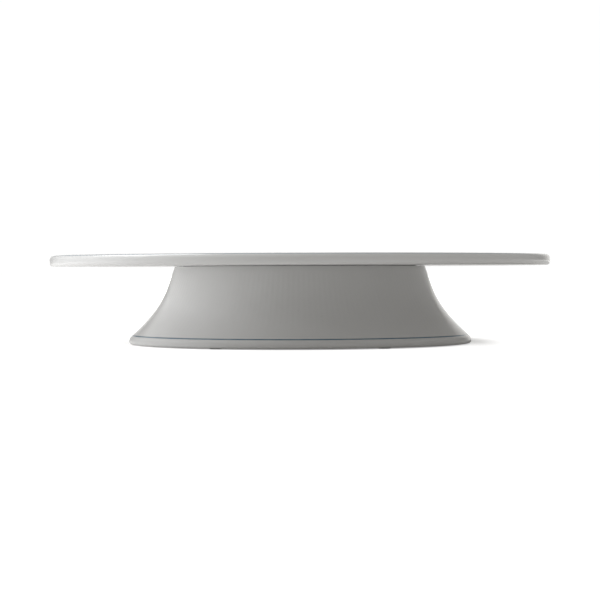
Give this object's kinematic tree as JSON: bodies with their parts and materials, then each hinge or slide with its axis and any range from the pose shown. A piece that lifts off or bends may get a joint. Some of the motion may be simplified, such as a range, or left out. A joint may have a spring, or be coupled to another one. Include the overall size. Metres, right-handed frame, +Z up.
{
  "type": "lazy susan turntable",
  "caption": "Round glazed porcelain serving plate that turns on a low flared porcelain pedestal, on a hidden ball bearing.",
  "frame": {"origin": "centre of the footprint, on the surface that the foot pads stand on", "axes": "+Z up along the turning axis; the plate and the pedestal are round, so +X and +Y only say where the first foot pad, screw and ball are, all on +X"},
  "size_m": [0.3, 0.3, 0.0535],
  "materials": {
    "glazed_porcelain": "white high-gloss glaze over fine porcelain, thin cobalt blue banding line just above the foot",
    "clear_silicone": "translucent matte silicone",
    "grey_silicone": "matte grey silicone sheet",
    "zinc_plated_steel": "bright zinc plate over pressed steel",
    "bearing_steel": "polished hardened steel",
    "natural_nylon": "moulded natural nylon",
    "turned_aluminium": "lathe-turned aluminium",
    "white_acetal": "turned white acetal",
    "red_fibre": "vulcanised red fibre sheet"
  },
  "bodies": {
    "stand": {"pedestal": "glazed_porcelain", "foot_pad_1": "clear_silicone", "foot_pad_2": "clear_silicone", "foot_pad_3": "clear_silicone", "foot_pad_4": "clear_silicone", "foot_pad_5": "clear_silicone", "foot_pad_6": "clear_silicone", "race_gasket": "grey_silicone", "lower_race": "zinc_plated_steel", "pivot_stud": "zinc_plated_steel", "fibre_washer": "red_fibre", "steel_washer": "zinc_plated_steel", "lock_nut": "zinc_plated_steel", "retaining_clip": "zinc_plated_steel"},
    "cage": {"ball_cage": "natural_nylon", "ball_01": "bearing_steel", "ball_02": "bearing_steel", "ball_03": "bearing_steel", "ball_04": "bearing_steel", "ball_05": "bearing_steel", "ball_06": "bearing_steel", "ball_07": "bearing_steel", "ball_08": "bearing_steel", "ball_09": "bearing_steel", "ball_10": "bearing_steel", "ball_11": "bearing_steel", "ball_12": "bearing_steel", "ball_13": "bearing_steel", "ball_14": "bearing_steel", "ball_15": "bearing_steel", "ball_16": "bearing_steel"},
    "turntable": {"turntable_plate": "glazed_porcelain", "carrier_disc": "turned_aluminium", "upper_race": "zinc_plated_steel", "pivot_bush": "white_acetal", "retaining_washer": "white_acetal", "race_screw_1": "zinc_plated_steel", "race_screw_2": "zinc_plated_steel", "race_screw_3": "zinc_plated_steel", "race_screw_4": "zinc_plated_steel", "bonding_pad_1": "clear_silicone", "bonding_pad_2": "clear_silicone", "bonding_pad_3": "clear_silicone", "bonding_pad_4": "clear_silicone", "bonding_pad_5": "clear_silicone", "bonding_pad_6": "clear_silicone"}
  },
  "joints": [
    {"name": "plate_spin", "type": "hinge", "parent": "stand", "child": "turntable", "pos_m": [0, 0, 0.038], "axis": [0, 0, 1], "continuous": true},
    {"name": "cage_orbit", "type": "hinge", "parent": "stand", "child": "cage", "pos_m": [0, 0, 0.038], "axis": [0, 0, 1], "continuous": true}
  ],
  "couplings": [
    {"joint": "cage_orbit", "follows": "plate_spin", "ratio": 0.5}
  ]
}
